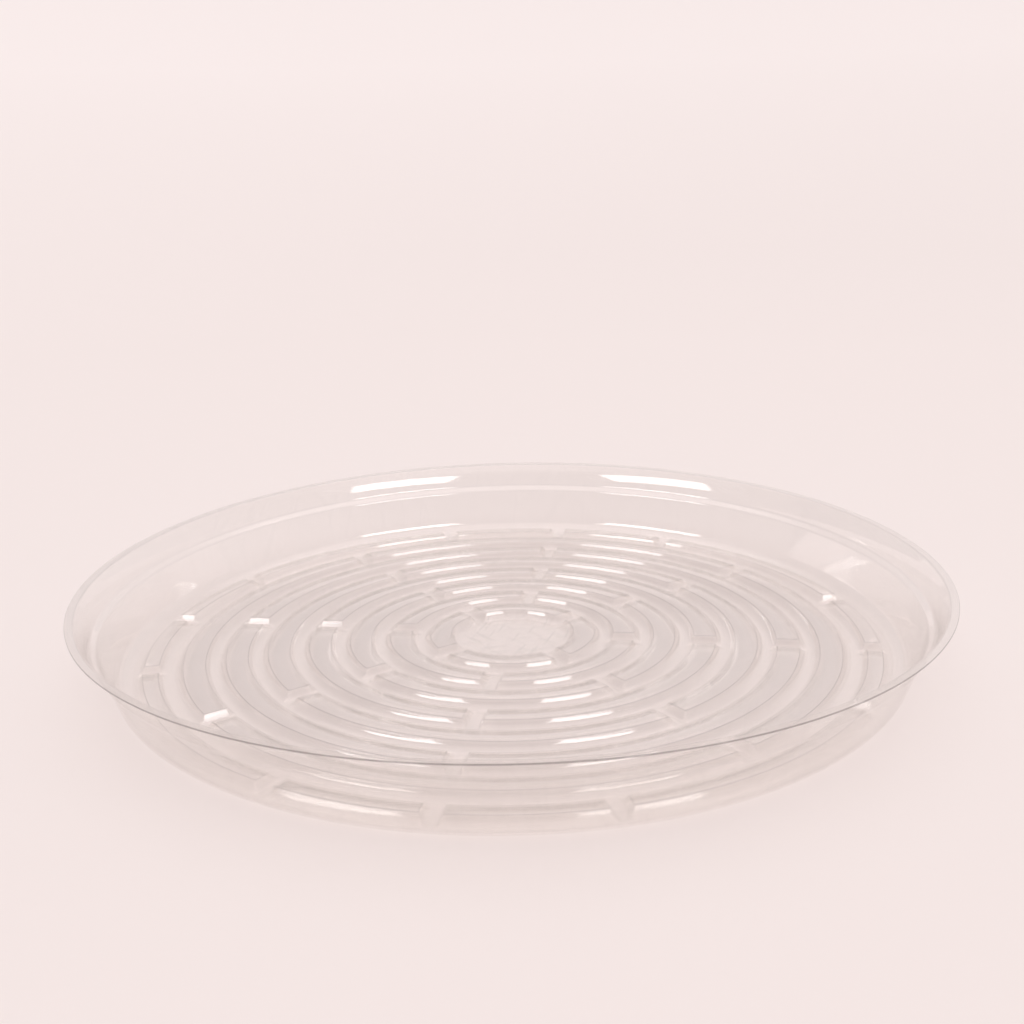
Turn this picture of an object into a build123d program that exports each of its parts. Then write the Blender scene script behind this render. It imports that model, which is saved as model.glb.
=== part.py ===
from build123d import *
from math import cos, radians, tan
import os

# Plant saucer, thermoformed in one piece from clear plastic sheet.
# Millimetres, +Z up. The origin is on the axis, in the plane that the saucer stands on.
# Radii and heights of the dish are those of its upper surface, and the sheet lies below it.

sheet = 0.6

# Ribs that carry the pot, in concentric broken rings
ring_count = 8
first_ring_radius = 30.5
ring_pitch = 16.95
rib_width = 9.1
outer_rib_width = 6.1
rib_height = 3.2
rib_lean = 25
gap_width = 7.8
gap_lean = 31.5

# Gaps in the rings: the inner rings are broken on the diagonals and on the axes by turns
inner_gap_count = 4
outer_gap_count = 16

# Floor outside the last ring, and the wall in its order from floor to rim
outer_channel = 6
foot_width = 3.6
foot_rise = 2.55
lower_wall_rise = 15.85
lower_wall_lean = 19.5
step_width = 2.4
step_rise = 2.2
upper_wall_rise = 5.7
upper_wall_lean = 13
flare_rise = 4.8
flare_lean = 36
lip_width = 3.25
lip_rise = 0.8

# How far cutting tools run past what they cut
overrun = 1


def lean_run(rise, lean):
    return rise * tan(radians(lean))


# Rings
crown_height = sheet + rib_height
ring_radii = [first_ring_radius + ring_pitch * number for number in range(ring_count)]
outer_ring = ring_count - 1


def ring_width(number):
    return outer_rib_width if number == outer_ring else rib_width


def gap_angles(number):
    if number == outer_ring:
        # No gap on the diagonals, so that four of the outer ribs are long
        turn = 360 / outer_gap_count
        quarter = outer_gap_count // inner_gap_count
        return [turn * k for k in range(outer_gap_count) if k % quarter != quarter // 2]
    turn = 360 / inner_gap_count
    start = turn / 2 if number % 2 == 0 else 0
    return [start + turn * k for k in range(inner_gap_count)]


def flank(height, skin, lean):
    # How far a rib's leaning face stands out from its crown edge, skin below the upper surface
    return lean_run(crown_height - height, lean) - skin / cos(radians(lean))


def trapezoid(middle, bottom, bottom_half, top, top_half):
    return make_face(
        Polyline(
            (middle - bottom_half, bottom),
            (middle + bottom_half, bottom),
            (middle + top_half, top),
            (middle - top_half, top),
            close=True,
        )
    )


def broken_ring(number, foot, skin):
    # The ribs of one ring as solids, from the height of their foot to skin below their crown
    top = crown_height - skin
    middle = ring_radii[number]
    half = ring_width(number) / 2
    foot_half = half + flank(foot, skin, rib_lean)
    top_half = half + flank(top, skin, rib_lean)
    ring = revolve(Plane.XZ * trapezoid(middle, foot, foot_half, top, top_half))

    low = foot - overrun
    high = top + overrun
    low_half = gap_width / 2 - flank(low, skin, gap_lean)
    high_half = gap_width / 2 - flank(high, skin, gap_lean)
    start = Plane.YZ.offset(middle - foot_half - overrun)
    cutter = extrude(start * trapezoid(0, low, low_half, high, high_half), 2 * (foot_half + overrun))
    return ring - [Rot(Z=angle) * cutter for angle in gap_angles(number)]


# Section of the dish, from the axis to the rim
floor_edge = (ring_radii[outer_ring] + outer_rib_width / 2 + outer_channel, sheet)
wall_foot = (floor_edge[0] + foot_width, floor_edge[1] + foot_rise)
step_edge = (
    wall_foot[0] + lean_run(lower_wall_rise, lower_wall_lean),
    wall_foot[1] + lower_wall_rise,
)
step_foot = (step_edge[0] + step_width, step_edge[1] + step_rise)
flare_foot = (
    step_foot[0] + lean_run(upper_wall_rise, upper_wall_lean),
    step_foot[1] + upper_wall_rise,
)
lip_foot = (flare_foot[0] + lean_run(flare_rise, flare_lean), flare_foot[1] + flare_rise)
lip_edge = (lip_foot[0] + lip_width, lip_foot[1] + lip_rise)
upper_line = Polyline(
    (0, sheet), floor_edge, wall_foot, step_edge, step_foot, flare_foot, lip_foot, lip_edge
)
section = make_face(offset(upper_line, amount=sheet, side=Side.RIGHT, kind=Kind.INTERSECTION))
dish = revolve(Plane.XZ * section)

# Ribs stand on the dish, and the sheet is drawn up into each, so they are hollow underneath
saucer = dish
for number in range(ring_count):
    saucer = saucer + broken_ring(number, sheet / 2, 0)
for number in range(ring_count):
    saucer = saucer - broken_ring(number, -overrun, sheet)

saucer.label = "saucer"
os.makedirs("parts", exist_ok=True)
export_step(saucer, "parts/saucer.step")

size = saucer.bounding_box().size
print("saucer", round(size.X, 2), round(size.Y, 2), round(size.Z, 2), "solids", len(saucer.solids()))
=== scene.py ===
import bpy
import math
from mathutils import Matrix, Vector


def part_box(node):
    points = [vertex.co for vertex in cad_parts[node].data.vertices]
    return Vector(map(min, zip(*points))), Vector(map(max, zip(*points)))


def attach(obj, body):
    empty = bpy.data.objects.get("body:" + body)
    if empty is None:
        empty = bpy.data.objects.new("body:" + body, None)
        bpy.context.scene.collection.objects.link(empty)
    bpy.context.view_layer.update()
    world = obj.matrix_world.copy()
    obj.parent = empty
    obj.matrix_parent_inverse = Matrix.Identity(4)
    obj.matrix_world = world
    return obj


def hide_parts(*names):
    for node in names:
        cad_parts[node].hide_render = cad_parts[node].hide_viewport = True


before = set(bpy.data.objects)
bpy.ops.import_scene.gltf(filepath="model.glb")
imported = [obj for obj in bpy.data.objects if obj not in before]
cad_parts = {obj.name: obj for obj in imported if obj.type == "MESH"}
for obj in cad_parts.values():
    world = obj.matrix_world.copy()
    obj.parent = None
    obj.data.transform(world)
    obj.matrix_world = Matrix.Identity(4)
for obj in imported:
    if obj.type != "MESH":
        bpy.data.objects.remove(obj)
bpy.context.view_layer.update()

mm = 0.001
scene = bpy.context.scene
low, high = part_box("saucer")
across, tall = (round((high[k] - low[k]) / mm, 1) for k in (0, 2))
print("frame loaded:", across, "mm across,", tall, "mm high")


# the sheet and its ribs: layout as in the CAD, with flanks that lean a little more
sheet = 0.6 * mm
ribs = {
    "ringCount": 8,
    "firstRing": 30.5 * mm,
    "pitch": 16.95 * mm,
    "ribWidth": 9.1 * mm,
    "outerRibWidth": 6.1 * mm,
    "ribHeight": 3.2 * mm,
    "sideLean": 27, "sideBend": 3.7 * mm,    # along the rings, between crown and channel bottom
    "outerLean": 34,                         # outside the outermost ring
    "endLean": 31.5, "endBend": 1.0 * mm,    # at the gaps
    "edgeRound": 0.6 * mm, "edgeMark": 2.5,  # crown edges, and how strongly painted shade lines show on them
    "easing": 0.13,                          # how gently a bend turns into a flank
    "innerRound": 0.05 * mm,                 # least rounding left on the underside
}

# rows and columns of the blank, each so far from a channel's centre line
blank = {
    "rowStops": (0, 1.3 * mm, 2.4 * mm, 3.32 * mm, 3.76 * mm, 4.03 * mm, 4.29 * mm),
    "columnStops": (0, 1.4 * mm, 1.95 * mm, 2.4 * mm, 3.75 * mm, 4.0 * mm, 4.26 * mm),
    "directions": 16,                        # radial lines that gaps can lie on
    "fillColumns": 5,
    "crowdedBelow": 26 * mm,                 # columns stay at fixed angles nearer the axis
    "centreRows": (3 * mm, 9 * mm, 16 * mm),
    "sameRow": 0.1 * mm,                     # rows closer than this are one row
    "evenAfter": 12 * mm,                    # columns spread out evenly over this much of the wall
}

# upper surface of the wall: corner by corner from floor to rim, then the bend at each corner
wall = {
    "outerChannel": 8.7 * mm,
    "lowerRise": 19.4 * mm, "lowerLean": 18.6,
    "stepWidth": 2.4 * mm, "stepRise": 2.2 * mm,
    "upperRise": 4.7 * mm, "upperLean": 15.6,
    "flareRise": 5.5 * mm, "flareLean": 32.4,
    "lipWidth": 3.25 * mm, "lipRise": 0.1 * mm,
    "bends": (7 * mm, 2.6 * mm, 2.5 * mm, 24 * mm, 1.2 * mm),
    "bendRows": (10, 6, 6, 9, 6),
    "bendMarks": (0, 0.1, 0.1, 0, 0.2),      # how strongly each bend shows as a painted shade line
    "runRows": (0, 4, 0, 0, 0, 2),           # extra rows on each straight run
    "edgeRound": 0.16 * mm, "edgeRows": 4,   # each corner of the trimmed edge
    "flex": 2.2 * mm, "flexToward": -80,     # the thin rim stands up a little at front and back
}


def channelHalf():
    return (ribs["pitch"] - ribs["ribWidth"]) / 2


def ringRadius(n):
    return ribs["firstRing"] + n * ribs["pitch"]


def crownHalf(n):
    return (ribs["outerRibWidth"] if n == ribs["ringCount"] - 1 else ribs["ribWidth"]) / 2


def wallCorners():
    last = ribs["ringCount"] - 1
    r, z = ringRadius(last) + crownHalf(last) + wall["outerChannel"], sheet
    corners = [(0, sheet), (r, z)]
    lean = lambda name: math.tan(math.radians(wall[name]))
    for dr, dz in (
        (wall["lowerRise"] * lean("lowerLean"), wall["lowerRise"]),
        (wall["stepWidth"], wall["stepRise"]),
        (wall["upperRise"] * lean("upperLean"), wall["upperRise"]),
        (wall["flareRise"] * lean("flareLean"), wall["flareRise"]),
        (wall["lipWidth"], wall["lipRise"]),
    ):
        r, z = r + dr, z + dz
        corners.append((r, z))
    return corners


def wallRows():
    # rows along the upper surface, each with the surface's slope and the strength of its painted shade
    # line
    corners = [Vector(c) for c in wallCorners()]
    slopes = [math.atan2(b.y - a.y, b.x - a.x) for a, b in zip(corners, corners[1:])]
    rows = []
    start = corners[0]
    for n, corner in enumerate(corners[1:]):
        run = Vector((math.cos(slopes[n]), math.sin(slopes[n])))
        last = n == len(slopes) - 1
        turn = 0 if last else slopes[n + 1] - slopes[n]
        bend = 0 if last else wall["bends"][n]
        end = corner - run * bend * math.tan(abs(turn) / 2)
        extra = wall["runRows"][n]
        for k in range(1, extra + 1):
            rows.append((*start.lerp(end, k / (extra + 1)), slopes[n], 0))
        side = math.copysign(1, turn)
        centre = end + Vector((-run.y, run.x)) * bend * side
        for k in range(wall["bendRows"][n] + 1 if not last else 1):
            part = 0 if last else k / wall["bendRows"][n]
            mark = 0 if last else wall["bendMarks"][n] * math.sin(math.pi * part)
            slope = slopes[n] + turn * part
            point = centre + Vector((math.sin(slope), -math.cos(slope))) * bend * side
            rows.append((*point, slope, mark))
        start = Vector(rows[-1][:2])
    return rows


def below(row, depth):
    r, z, slope = row[:3]
    return r + math.sin(slope) * depth, z - math.cos(slope) * depth


def over(rows):
    return [(r, z, slope + math.pi / 2, 0, mark) for r, z, slope, mark in rows]


def beneath(rows):
    return [(*below(row, sheet), row[2] - math.pi / 2, 1, 0) for row in reversed(rows)]


def floorRadii(end):
    radii = list(blank["centreRows"])
    for n in range(ribs["ringCount"]):
        reach = crownHalf(n) + channelHalf()
        inner = [ringRadius(n) - reach + stop for stop in blank["rowStops"]]
        outer = [ringRadius(n) + reach - stop for stop in reversed(blank["rowStops"])]
        radii += [r for r in inner + outer if r - radii[-1] > blank["sameRow"]]
    return [r for r in radii if r < end - blank["sameRow"]]


def columnAngles(r, floorEnd):
    # lines that run beside each gap's centre line at fixed distances, with a few more between
    stops = blank["columnStops"]
    offsets = [-s for s in reversed(stops[1:])] + list(stops)
    turn = 2 * math.pi / blank["directions"]
    reach = max(r, blank["crowdedBelow"])
    beside = [math.asin(s / reach) for s in offsets]
    spare = turn - 2 * beside[-1]
    fill = blank["fillColumns"]
    sector = beside + [beside[-1] + spare * k / (fill + 1) for k in range(1, fill + 1)]
    even = min(max((r - floorEnd) / blank["evenAfter"], 0), 1)
    middle = len(stops) - 1
    sector = [a + even * (turn * (k - middle) / len(sector) - a) for k, a in enumerate(sector)]
    return [turn * n + a for n in range(blank["directions"]) for a in sector]


def rimEdge(row):
    # the trimmed edge of the sheet, with its two corners just eased, marked for a painted dark line
    r, z, slope = row[:3]
    out = Vector((math.cos(slope), math.sin(slope)))
    down = Vector((math.sin(slope), -math.cos(slope)))
    ease, count = wall["edgeRound"], wall["edgeRows"]
    rows = []
    for depth, start in ((ease, 90), (sheet - ease, 0)):
        for k in range(count):
            a = math.radians(start - 90 * k / (count - 1))
            p = Vector((r, z)) + out * (math.cos(a) - 1) * ease + down * (depth - math.sin(a) * ease)
            rows.append((p.x, p.y, slope + a, 0, 1))
    for end in (0, -1):
        rows[end] = (*rows[end][:4], 0)      # no painted shade line where the edge meets the faces
    return rows


def lift(z, angle):
    # none on the floor, most on the rim
    rise = (z - sheet) / (wallCorners()[-1][1] - sheet)
    return wall["flex"] * max(rise, 0) * math.cos(angle - math.radians(wall["flexToward"])) ** 2


def dishBlank():
    # closed sheet with a flat floor, before the ribs are drawn into it
    walls = wallRows()
    floorEnd = walls[0][0]
    floor = [(r, sheet, 0, 0) for r in floorRadii(floorEnd)]
    loops = over(floor + walls[:-1]) + rimEdge(walls[-1]) + beneath(floor + walls[:-1])

    points = [(0, 0, sheet)]
    marks = [(math.pi / 2, 0, 0)]
    for r, z, *mark in loops:
        for a in columnAngles(r, floorEnd):
            points.append((r * math.cos(a), r * math.sin(a), z + lift(z, a)))
            marks.append(mark)
    points.append((0, 0, 0))
    marks.append((-math.pi / 2, 1, 0))

    count = len(columnAngles(0, floorEnd))
    at = lambda row, column: 1 + row * count + column % count
    faces = [(0, at(0, k), at(0, k + 1)) for k in range(count)]
    for row in range(len(loops) - 1):
        for k in range(count):
            faces.append((at(row, k), at(row + 1, k), at(row + 1, k + 1), at(row, k + 1)))
    end, last = len(points) - 1, len(loops) - 1
    faces += [(end, at(last, k + 1), at(last, k)) for k in range(count)]

    mesh = bpy.data.meshes.new("saucerSheet")
    mesh.from_pydata(points, [], faces)
    for name, values in zip(("facing", "under", "shadeLines"), zip(*marks)):
        mesh.attributes.new(name, "FLOAT", "POINT").data.foreach_set("value", values)
    return mesh, floorEnd


def mathNode(tree, operation, *values):
    node = tree.nodes.new("ShaderNodeMath")
    node.operation = operation
    for socket, value in zip(node.inputs, values):
        if isinstance(value, (int, float)):
            socket.default_value = value
        else:
            tree.links.new(value, socket)
    return node.outputs[0]


def rangeNode(tree, value, bounds, smooth=False):
    node = tree.nodes.new("ShaderNodeMapRange")
    if smooth:
        node.interpolation_type = "SMOOTHSTEP"
    for name, bound in zip(("From Min", "From Max", "To Min", "To Max"), bounds):
        node.inputs[name].default_value = bound
    tree.links.new(value, node.inputs["Value"])
    return node.outputs["Result"]


def mixNode(tree, amount, first, second):
    node = tree.nodes.new("ShaderNodeMix")
    node.data_type = "RGBA"
    tree.links.new(amount, node.inputs["Factor"])
    for name, color in (("A", first), ("B", second)):
        if isinstance(color, tuple):
            node.inputs[name].default_value = color
        else:
            tree.links.new(color, node.inputs[name])
    return node.outputs["Result"]


def splitNode(tree, vector):
    node = tree.nodes.new("ShaderNodeSeparateXYZ")
    tree.links.new(vector, node.inputs[0])
    return node.outputs


def lengthNode(tree, vector):
    node = tree.nodes.new("ShaderNodeVectorMath")
    node.operation = "LENGTH"
    tree.links.new(vector, node.inputs[0])
    return node.outputs["Value"]


def ribTree():
    # raises the floor into ribs: height follows the distance to the nearest channel's centre line
    tree = bpy.data.node_groups.new("drawRibs", "GeometryNodeTree")
    face = tree.interface
    face.new_socket("Geometry", in_out="OUTPUT", socket_type="NodeSocketGeometry")
    face.new_socket("Geometry", in_out="INPUT", socket_type="NodeSocketGeometry")
    for name in ("First Ring", "Pitch", "Rib Width", "Outer Rib Width", "Rib Height",
                 "Side Lean", "Outer Lean", "Side Bend", "End Lean", "End Bend",
                 "Edge Round", "Inner Round", "Edge Mark", "Easing", "Sheet", "Ring Count", "Floor End"):
        face.new_socket(name, in_out="INPUT", socket_type="NodeSocketFloat")
    face.new_socket("Material", in_out="INPUT", socket_type="NodeSocketMaterial")
    add, link = tree.nodes.new, tree.links.new
    given = add("NodeGroupInput").outputs

    def calc(operation, *values):
        return mathNode(tree, operation, *values)

    def choose(mask, yes, no):
        return calc("MULTIPLY_ADD", mask, calc("SUBTRACT", yes, no), no)

    def rest(hypotenuse, leg):
        squares = calc("SUBTRACT", calc("MULTIPLY", hypotenuse, hypotenuse), calc("MULTIPLY", leg, leg))
        return calc("SQRT", calc("MAXIMUM", squares, 0))

    x, y, z = splitNode(tree, add("GeometryNodeInputPosition").outputs[0])
    r = calc("SQRT", calc("ADD", calc("MULTIPLY", x, x), calc("MULTIPLY", y, y)))
    angle = calc("ARCTAN2", y, x)

    def stored(name):
        attribute = add("GeometryNodeInputNamedAttribute")
        attribute.data_type = "FLOAT"
        attribute.inputs["Name"].default_value = name
        return attribute.outputs["Attribute"]

    under, facing = stored("under"), stored("facing")

    # which ring the point is in, and how far it is from the channel beside that ring
    lastRing = calc("SUBTRACT", given["Ring Count"], 1)
    number = calc("ROUND", calc("DIVIDE", calc("SUBTRACT", r, given["First Ring"]), given["Pitch"]))
    number = calc("MINIMUM", calc("MAXIMUM", number, 0), lastRing)
    outermost = calc("COMPARE", number, lastRing, 0.5)
    middle = calc("MULTIPLY_ADD", number, given["Pitch"], given["First Ring"])
    width = choose(outermost, given["Outer Rib Width"], given["Rib Width"])
    half = calc("MULTIPLY", calc("SUBTRACT", given["Pitch"], given["Rib Width"]), 0.5)
    reach = calc("MULTIPLY_ADD", width, 0.5, half)
    fromMiddle = calc("SUBTRACT", r, middle)
    ringWay = calc("MAXIMUM", calc("SUBTRACT", reach, calc("ABSOLUTE", fromMiddle)), 0)

    # gaps: diagonals and axes by turns, and the outermost ring at each sixteenth but the diagonals
    eighth, sixteenth = math.pi / 4, math.pi / 8
    noGap = 1                                # an angle far from any gap
    odd = calc("MODULO", number, 2)
    shifted = calc("SUBTRACT", angle, calc("MULTIPLY", calc("SUBTRACT", 1, odd), eighth))
    innerGap = calc("WRAP", shifted, eighth, -eighth)
    outerGap = calc("WRAP", angle, sixteenth / 2, -sixteenth / 2)
    fromDiagonal = calc("PINGPONG", calc("SUBTRACT", angle, eighth), eighth)
    outerGap = choose(calc("LESS_THAN", fromDiagonal, sixteenth / 2), noGap, outerGap)
    gap = choose(outermost, outerGap, innerGap)
    gapWay = calc("MULTIPLY", r, calc("SINE", calc("ABSOLUTE", gap)))

    # bottom, bend, straight flank, eased edge, flat crown; the underside keeps the sheet's thickness
    h = given["Rib Height"]
    skin = calc("MULTIPLY", under, given["Sheet"])
    outerRound = calc("MAXIMUM", given["Edge Round"], calc("ADD", skin, given["Inner Round"]))
    ease = calc("SUBTRACT", outerRound, skin)
    crown = calc("SUBTRACT", calc("ADD", h, given["Sheet"]), skin)

    def profile(way, lean, bend):
        steep, shallow = calc("COSINE", lean), calc("SINE", lean)
        share = calc("DIVIDE", calc("SUBTRACT", 1, shallow), steep)
        climb = calc("DIVIDE", steep, shallow)
        bottom = calc("SUBTRACT", half, calc("DIVIDE", h, climb))
        bottom = calc("SUBTRACT", bottom, calc("MULTIPLY", bend, share))
        way = calc("MAXIMUM", calc("SUBTRACT", way, bottom), 0)
        radius = calc("ADD", bend, skin)
        flankStart = calc("MULTIPLY", radius, steep)
        easeEnd = calc("SUBTRACT", calc("MULTIPLY_ADD", outerRound, share, half), bottom)
        easeStart = calc("SUBTRACT", easeEnd, calc("MULTIPLY", ease, steep))
        bendZ = calc("SUBTRACT", calc("ADD", bend, given["Sheet"]), rest(radius, way))
        flankTop = calc("SUBTRACT", crown, calc("MULTIPLY", ease, calc("SUBTRACT", 1, shallow)))
        flankZ = calc("SUBTRACT", flankTop, calc("MULTIPLY", calc("SUBTRACT", easeStart, way), climb))
        easeZ = calc("ADD", calc("SUBTRACT", crown, ease), rest(ease, calc("SUBTRACT", easeEnd, way)))
        height = choose(calc("LESS_THAN", way, easeEnd), easeZ, crown)
        height = choose(calc("LESS_THAN", way, easeStart), flankZ, height)
        height = choose(calc("LESS_THAN", way, flankStart), bendZ, height)
        slope = calc("SMOOTH_MIN", calc("DIVIDE", way, radius), steep, given["Easing"])
        slope = calc("MINIMUM", slope, calc("DIVIDE", calc("SUBTRACT", easeEnd, way), ease))
        eased = calc("DIVIDE", calc("SUBTRACT", way, easeStart), calc("SUBTRACT", easeEnd, easeStart))
        return height, calc("MAXIMUM", slope, 0), eased

    outside = calc("MULTIPLY", outermost, calc("GREATER_THAN", fromMiddle, 0))
    sideLean = choose(outside, given["Outer Lean"], given["Side Lean"])
    sideZ, sideSlope, sideEased = profile(ringWay, sideLean, given["Side Bend"])
    endZ, endSlope, endEased = profile(gapWay, given["End Lean"], given["End Bend"])
    alongGap = calc("LESS_THAN", endZ, sideZ)
    floor = calc("LESS_THAN", r, given["Floor End"])
    height = choose(floor, calc("MINIMUM", sideZ, endZ), z)
    slope = choose(alongGap, endSlope, sideSlope)

    # painted shade lines: strongest half way round the eased edges, and on the rim as stored
    eased = calc("MINIMUM", calc("MAXIMUM", choose(alongGap, endEased, sideEased), 0), 1)
    eased = calc("MULTIPLY", calc("MULTIPLY", eased, calc("SUBTRACT", 1, eased)), given["Edge Mark"])
    mark = choose(floor, eased, stored("shadeLines"))

    # direction the surface faces: slope of the ribs on the floor, stored angle on the wall
    side = calc("MULTIPLY_ADD", under, -2, 1)
    inGap = calc("MULTIPLY", calc("SIGN", gap), calc("SINE", gap))
    outward = choose(alongGap, inGap, calc("MULTIPLY", calc("SIGN", fromMiddle), -1))
    around = calc("MULTIPLY", alongGap, calc("MULTIPLY", calc("SIGN", gap), calc("COSINE", gap)))
    tilt = calc("MULTIPLY", slope, calc("MULTIPLY", side, -1))
    outward = choose(floor, calc("MULTIPLY", outward, tilt), calc("COSINE", facing))
    around = calc("MULTIPLY", floor, calc("MULTIPLY", around, tilt))
    upward = choose(floor, calc("MULTIPLY", side, rest(1, slope)), calc("SINE", facing))
    cosine, sine = calc("COSINE", angle), calc("SINE", angle)
    normal = add("ShaderNodeCombineXYZ")
    alongX = calc("SUBTRACT", calc("MULTIPLY", outward, cosine), calc("MULTIPLY", around, sine))
    alongY = calc("ADD", calc("MULTIPLY", outward, sine), calc("MULTIPLY", around, cosine))
    for socket, value in zip(normal.inputs, (alongX, alongY, upward)):
        link(value, socket)
    geometry = given["Geometry"]
    for name, kind, value in (("normals", "FLOAT_VECTOR", normal.outputs[0]), ("shadeLines", "FLOAT", mark)):
        note = add("GeometryNodeStoreNamedAttribute")
        note.data_type, note.domain = kind, "POINT"
        note.inputs["Name"].default_value = name
        link(geometry, note.inputs["Geometry"])
        link(value, note.inputs["Value"])
        geometry = note.outputs["Geometry"]

    place = add("ShaderNodeCombineXYZ")
    for socket, value in zip(place.inputs, (x, y, height)):
        link(value, socket)
    shaped = add("GeometryNodeSetPosition")
    link(geometry, shaped.inputs["Geometry"])
    link(place.outputs[0], shaped.inputs["Position"])
    smooth = add("GeometryNodeSetShadeSmooth")
    realize = add("GeometryNodeRealizeInstances")
    finish = add("GeometryNodeSetMaterial")
    link(given["Material"], finish.inputs["Material"])
    end = add("NodeGroupOutput")
    chain = (shaped, smooth, realize, finish, end)
    for a, b in zip(chain, chain[1:]):
        link(a.outputs[0], b.inputs[0])
    return tree


def makeSaucer(material):
    mesh, floorEnd = dishBlank()
    saucer = bpy.data.objects.new("saucerSheet", mesh)
    scene.collection.objects.link(saucer)
    tree = ribTree()
    modifier = saucer.modifiers.new("drawRibs", "NODES")
    modifier.node_group = tree
    values = {
        "First Ring": ribs["firstRing"], "Pitch": ribs["pitch"],
        "Rib Width": ribs["ribWidth"], "Outer Rib Width": ribs["outerRibWidth"],
        "Rib Height": ribs["ribHeight"], "Outer Lean": math.radians(ribs["outerLean"]),
        "Side Lean": math.radians(ribs["sideLean"]), "Side Bend": ribs["sideBend"],
        "End Lean": math.radians(ribs["endLean"]), "End Bend": ribs["endBend"],
        "Edge Round": ribs["edgeRound"], "Inner Round": ribs["innerRound"],
        "Edge Mark": ribs["edgeMark"], "Easing": ribs["easing"],
        "Sheet": sheet, "Ring Count": float(ribs["ringCount"]),
        "Floor End": floorEnd - blank["sameRow"] / 2, "Material": material,
    }
    for item in tree.interface.items_tree:
        if item.name in values:
            modifier[item.identifier] = values[item.name]
    shaped = saucer.evaluated_get(bpy.context.evaluated_depsgraph_get())
    finished = bpy.data.meshes.new_from_object(shaped)
    saucer.modifiers.clear()
    saucer.data = finished
    parts = [0.0] * (3 * len(finished.vertices))
    finished.attributes["normals"].data.foreach_get("vector", parts)
    finished.normals_split_custom_set_from_vertices(list(zip(parts[0::3], parts[1::3], parts[2::3])))
    for name in ("facing", "under", "normals"):
        finished.attributes.remove(finished.attributes[name])
    return saucer


clear = {
    "tint": (0.972, 0.965, 0.959, 1),    # light let through by each face
    "steepTint": (0.82, 0.805, 0.795, 1),  # the same, where the sheet is seen edge-on
    "steepPower": 8,
    "gloss": (1, 1, 1, 1),
    "ior": 1.5,
    "roughness": 0.03,
    "paintedEdgeShade": (0.55, 0.53, 0.53, 1),    # painted shade: dark lines on the trimmed rim, the crown edges and the wall bends, seen from outside
    "bending": 0.06,                     # share of light that is bent inside the sheet
    "shadow": (0.95, 0.945, 0.94, 1),    # light that reaches the ground through a flat face
    "wallShadow": (0.89, 0.875, 0.87, 1),  # the same through the wall
    "flankShadow": (0.68, 0.665, 0.655, 1),  # and through the flanks of the ribs, which turn it aside
    "upright": (0.45, 0.9),              # upward part of the normal, from a flank to a flat face
    "ribTop": (4.2 * mm, 5.2 * mm),      # height at which ribs end and wall begins
    "veil": (0.55, 0.53, 0.51, 1),       # what haze and scuffs scatter
}
wear = {
    "haze": {"scale": 14, "detail": 3, "veiled": (0.35, 0.75), "share": 0.01,
             "dulled": (0.3, 0.7), "roughness": (0.02, 0.06)},
    "waves": {"scale": 34, "detail": 1, "depth": 0.03 * mm},
    "scuffs": {"turns": (24, -38, 81), "grain": (24 * mm, 1.1 * mm, 1), "from": 0.67, "to": 0.75},
    "centre": {"radius": 22 * mm, "fade": 6 * mm, "inside": 0.1, "outside": 0.01},
}


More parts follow.
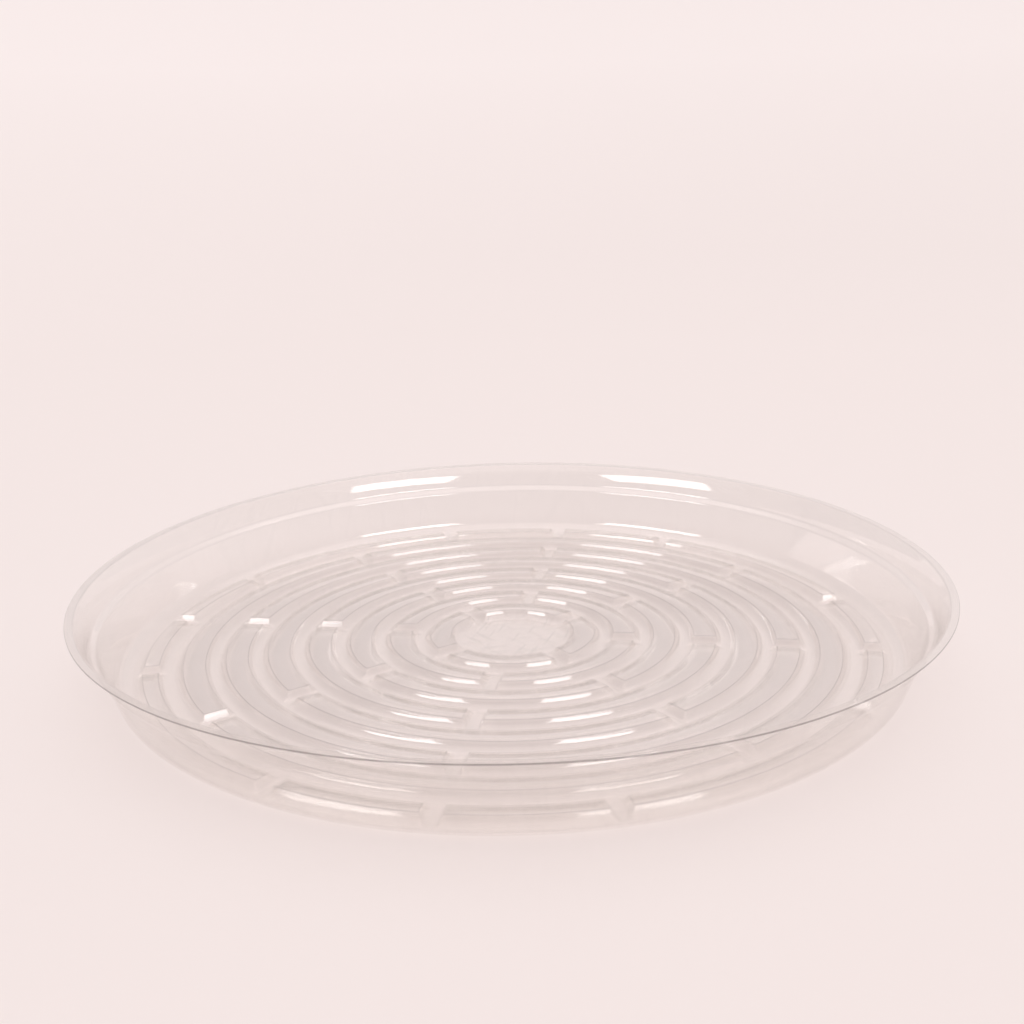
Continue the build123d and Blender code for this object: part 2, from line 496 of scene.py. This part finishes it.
def clearPlastic():
    material = bpy.data.materials.new("clearPlastic")
    material.use_nodes = True
    tree = material.node_tree
    nodes, link = tree.nodes, tree.links.new

    def blend(amount, first, second):
        mix = nodes.new("ShaderNodeMixShader")
        if isinstance(amount, float):
            mix.inputs["Fac"].default_value = amount
        else:
            link(amount, mix.inputs["Fac"])
        link(first.outputs[0], mix.inputs[1])
        link(second.outputs[0], mix.inputs[2])
        return mix

    spot = nodes.new("ShaderNodeTexCoord").outputs["Object"]

    def noise(settings, turn=0, grain=(1, 1, 1)):
        place = nodes.new("ShaderNodeMapping")
        place.vector_type = "TEXTURE"
        place.inputs["Rotation"].default_value[2] = math.radians(turn)
        place.inputs["Scale"].default_value = grain
        link(spot, place.inputs["Vector"])
        field = nodes.new("ShaderNodeTexNoise")
        field.inputs["Scale"].default_value = settings.get("scale", 1)
        field.inputs["Detail"].default_value = settings.get("detail", 0)
        link(place.outputs["Vector"], field.inputs["Vector"])
        return field.outputs[0]

    def ranged(value, *bounds):
        return rangeNode(tree, value, bounds)

    def calc(operation, *values):
        return mathNode(tree, operation, *values)

    # handling leaves a thin haze, and fine scuffs that are thickest on the flat centre
    haze, centre, lines = wear["haze"], wear["centre"], wear["scuffs"]
    cloud = noise(haze)
    scratches = [ranged(noise({}, turn, lines["grain"]), lines["from"], lines["to"], 0, 1)
                 for turn in lines["turns"]]
    scuffs = calc("MAXIMUM", calc("MAXIMUM", *scratches[:2]), scratches[2])
    flat = nodes.new("ShaderNodeVectorMath")
    flat.operation = "MULTIPLY"
    flat.inputs[1].default_value = (1, 1, 0)
    link(spot, flat.inputs[0])
    away = lengthNode(tree, flat.outputs["Vector"])
    where = ranged(away, centre["radius"], centre["radius"] + centre["fade"],
                   centre["inside"], centre["outside"])
    veiled = ranged(cloud, *haze["veiled"], 0, haze["share"])
    veiled = calc("ADD", veiled, calc("MULTIPLY", scuffs, where))
    ripple = nodes.new("ShaderNodeBump")
    ripple.inputs["Distance"].default_value = wear["waves"]["depth"]
    link(noise(wear["waves"]), ripple.inputs["Height"])

    # thin sheet: straight through, with a mirror on each face
    pane = nodes.new("ShaderNodeBsdfTransparent")
    steep = calc("POWER", nodes.new("ShaderNodeLayerWeight").outputs["Facing"], clear["steepPower"])
    passed = mixNode(tree, steep, clear["tint"], clear["steepTint"])
    # painted shade: the stored lines darken the light let through where a face is seen from outside
    stored = nodes.new("ShaderNodeAttribute")
    stored.attribute_name = "shadeLines"
    shadeLines = stored.outputs["Fac"]
    geometry = nodes.new("ShaderNodeNewGeometry")
    side = geometry.outputs["Backfacing"]
    outside = calc("SUBTRACT", shadeLines, calc("MULTIPLY", shadeLines, side))
    link(mixNode(tree, outside, passed, clear["paintedEdgeShade"]), pane.inputs["Color"])
    mirror = nodes.new("ShaderNodeBsdfGlossy")
    mirror.inputs["Color"].default_value = clear["gloss"]
    link(ranged(cloud, *haze["dulled"], *haze["roughness"]), mirror.inputs["Roughness"])
    link(ripple.outputs[0], mirror.inputs["Normal"])
    # both sides of a face mirror alike, so the index is turned over on the inside
    index = calc("POWER", clear["ior"], calc("MULTIPLY_ADD", side, -2, 1))
    fresnel = nodes.new("ShaderNodeFresnel")
    link(index, fresnel.inputs["IOR"])
    veil = nodes.new("ShaderNodeBsdfDiffuse")
    veil.inputs["Color"].default_value = clear["veil"]
    thin = blend(fresnel.outputs[0], blend(veiled, pane, veil), mirror)

    # a little real refraction draws the bends and the cut rim
    shader = nodes["Principled BSDF"]
    shader.inputs["Base Color"].default_value = clear["tint"]
    shader.inputs["IOR"].default_value = clear["ior"]
    shader.inputs["Roughness"].default_value = clear["roughness"]
    shader.inputs["Transmission Weight"].default_value = 1
    body = blend(clear["bending"], thin, shader)

    # light from lamps and sky passes the sheet, so that it leaves only a faint shadow
    through = nodes.new("ShaderNodeBsdfTransparent")
    onWall = ranged(splitNode(tree, spot)["Z"], *clear["ribTop"])
    standing = mixNode(tree, onWall, clear["flankShadow"], clear["wallShadow"])
    level = calc("ABSOLUTE", splitNode(tree, geometry.outputs["Normal"])["Z"])
    shade = mixNode(tree, ranged(level, *clear["upright"]), standing, clear["shadow"])
    link(shade, through.inputs["Color"])
    path = nodes.new("ShaderNodeLightPath")
    final = blend(path.outputs["Is Shadow Ray"], body, through)
    link(final.outputs[0], nodes["Material Output"].inputs["Surface"])
    return material


saucer = makeSaucer(clearPlastic())
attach(saucer, "root")
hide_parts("saucer")
triangles = sum(len(p.vertices) - 2 for p in saucer.data.polygons)
print("saucer made:", triangles, "triangles")


# pale floor that rises into a round backdrop
backdrop = {
    "drop": 0.4 * mm,                    # a hair of air under the sheet
    "flat": 0.9, "bend": 3.0, "edge": 7.6, "slope": 12,    # metres, and degrees
    "columns": 96, "bendRows": 6,
    "color": (0.884, 0.835, 0.822, 1), "near": 1.0,
    "farPaintedLight": (0.945, 0.903, 0.895, 1), "far": 3.6,      # painted light: a little paler towards the back, where the ground shows lighter
    "roughness": 0.9, "specular": 0.1,
}


def groundMaterial():
    material = bpy.data.materials.new("paleGround")
    material.use_nodes = True
    tree = material.node_tree
    shader = tree.nodes["Principled BSDF"]
    shader.inputs["Roughness"].default_value = backdrop["roughness"]
    shader.inputs["Specular IOR Level"].default_value = backdrop["specular"]
    away = lengthNode(tree, tree.nodes.new("ShaderNodeTexCoord").outputs["Object"])
    # painted light: the ground colour turns paler further from the saucer, which shows towards the back
    fade = rangeNode(tree, away, (backdrop["near"], backdrop["far"]))
    color = mixNode(tree, fade, backdrop["color"], backdrop["farPaintedLight"])
    tree.links.new(color, shader.inputs["Base Color"])
    return material


def makeBackdrop():
    flat, bend, slope = backdrop["flat"], backdrop["bend"], math.radians(backdrop["slope"])
    rows = [(flat, 0)]
    for k in range(1, backdrop["bendRows"] + 1):
        a = slope * k / backdrop["bendRows"]
        rows.append((flat + bend * math.sin(a), bend * (1 - math.cos(a))))
    r, z = rows[-1]
    rows.append((backdrop["edge"], z + (backdrop["edge"] - r) * math.tan(slope)))
    count = backdrop["columns"]
    points = [(0, 0, -backdrop["drop"])]
    for r, z in rows:
        for k in range(count):
            a = 2 * math.pi * k / count
            points.append((r * math.cos(a), r * math.sin(a), z - backdrop["drop"]))
    faces = [(0, 1 + k, 1 + (k + 1) % count) for k in range(count)]
    for row in range(len(rows) - 1):
        here, there = 1 + row * count, 1 + (row + 1) * count
        for k in range(count):
            n = (k + 1) % count
            faces.append((here + k, there + k, there + n, here + n))
    mesh = bpy.data.meshes.new("backdrop")
    mesh.from_pydata(points, [], faces)
    mesh.shade_smooth()
    mesh.materials.append(groundMaterial())
    ground = bpy.data.objects.new("backdrop", mesh)
    scene.collection.objects.link(ground)


# eye of the photograph, found from the ring pattern
view = {
    "azimuth": 10.06, "elevation": 21.9, "distance": 519.8 * mm, "aimHeight": 1.14 * mm,
    "tiltUp": 5.905, "panRight": 0.118, "roll": -1.385,
    "focalPixels": 1206.8, "imageWidth": 1024, "sensor": 36, "clipStart": 10 * mm,
}


def makeCamera():
    a, e = math.radians(view["azimuth"]), math.radians(view["elevation"])
    t, p, q = (math.radians(view[name]) for name in ("tiltUp", "panRight", "roll"))
    away = Vector((math.sin(a) * math.cos(e), -math.cos(a) * math.cos(e), math.sin(e)))
    right = Vector((math.cos(a), math.sin(a), 0))
    ahead = -away
    up = right.cross(ahead)
    ahead, up = ahead * math.cos(t) + up * math.sin(t), up * math.cos(t) - ahead * math.sin(t)
    ahead, right = ahead * math.cos(p) + right * math.sin(p), right * math.cos(p) - ahead * math.sin(p)
    right, up = right * math.cos(q) + up * math.sin(q), up * math.cos(q) - right * math.sin(q)
    data = bpy.data.cameras.new("photoCamera")
    data.sensor_width = view["sensor"]
    data.lens = view["sensor"] * view["focalPixels"] / view["imageWidth"]
    data.clip_start = view["clipStart"]
    camera = bpy.data.objects.new("photoCamera", data)
    place = Vector((0, 0, view["aimHeight"])) + away * view["distance"]
    camera.matrix_world = Matrix.Translation(place) @ Matrix((right, up, -ahead)).transposed().to_4x4()
    scene.collection.objects.link(camera)
    scene.camera = camera


lamps = {
    "left": {"aside": -53.5, "elevation": 34.7, "distance": 4.0,
             "width": 2.37, "height": 1.4, "power": 70},
    "right": {"aside": 37.6, "elevation": 34.7, "distance": 4.0,
              "width": 2.32, "height": 1.4, "power": 68},
}
softEdge = (0.15, 0.5)    # share of a lamp's width and height over which it fades
sky = {
    "color": (1, 0.93, 0.92, 1),
    "sides": 0.6, "overhead": 1.58, "low": 0.6, "high": 0.9,
    "tilt": 0.26, "toward": 48,          # brighter behind the saucer, most of all on the right
}
bounces = {"all": 32, "through": 32, "mirrored": 16}    # light passes many faces of thin sheet


def softenLamp(data):
    data.use_nodes = True
    tree = data.node_tree
    ways = splitNode(tree, tree.nodes.new("ShaderNodeNewGeometry").outputs["Parametric"])
    fades = []
    for way, share in zip(ways, softEdge):
        fromEdge = mathNode(tree, "PINGPONG", way, 0.5)
        fades.append(rangeNode(tree, fromEdge, (0, share / 2), smooth=True))
    tree.links.new(mathNode(tree, "MULTIPLY", *fades), tree.nodes["Emission"].inputs["Strength"])


def makeLights():
    # the lamps only glint on the saucer, and the sky lights the floor
    shone = bpy.data.collections.new("shone")
    shone.objects.link(saucer)
    for name, lamp in lamps.items():
        a, e = math.radians(view["azimuth"] + lamp["aside"]), math.radians(lamp["elevation"])
        away = Vector((math.sin(a) * math.cos(e), -math.cos(a) * math.cos(e), math.sin(e)))
        data = bpy.data.lights.new(name + "Lamp", "AREA")
        data.shape = "RECTANGLE"
        data.size, data.size_y = lamp["width"], lamp["height"]
        data.energy = lamp["power"]
        softenLamp(data)
        light = bpy.data.objects.new(name + "Lamp", data)
        turn = away.to_track_quat("Z", "Y").to_matrix().to_4x4()
        light.matrix_world = Matrix.Translation(away * lamp["distance"]) @ turn
        light.light_linking.receiver_collection = shone
        scene.collection.objects.link(light)
    world = bpy.data.worlds.new("studio")
    world.use_nodes = True
    tree = world.node_tree
    shader = tree.nodes["Background"]
    shader.inputs["Color"].default_value = sky["color"]
    aim = tree.nodes.new("ShaderNodeTexCoord").outputs["Generated"]
    bounds = [sky[name] for name in ("low", "high", "sides", "overhead")]
    fade = rangeNode(tree, splitNode(tree, aim)["Z"], bounds, smooth=True)
    lean = tree.nodes.new("ShaderNodeVectorMath")
    lean.operation = "DOT_PRODUCT"
    a = math.radians(view["azimuth"] - sky["toward"])
    lean.inputs[1].default_value = (-math.sin(a) * sky["tilt"], math.cos(a) * sky["tilt"], 0)
    tree.links.new(aim, lean.inputs[0])
    strength = mathNode(tree, "ADD", fade, lean.outputs["Value"])
    tree.links.new(strength, shader.inputs["Strength"])
    scene.world = world
    scene.view_settings.view_transform = "Standard"
    scene.cycles.max_bounces = bounces["all"]
    scene.cycles.transmission_bounces = bounces["through"]
    scene.cycles.transparent_max_bounces = bounces["through"]
    scene.cycles.glossy_bounces = bounces["mirrored"]


makeBackdrop()
makeCamera()
makeLights()
print("stage, camera and lights made")
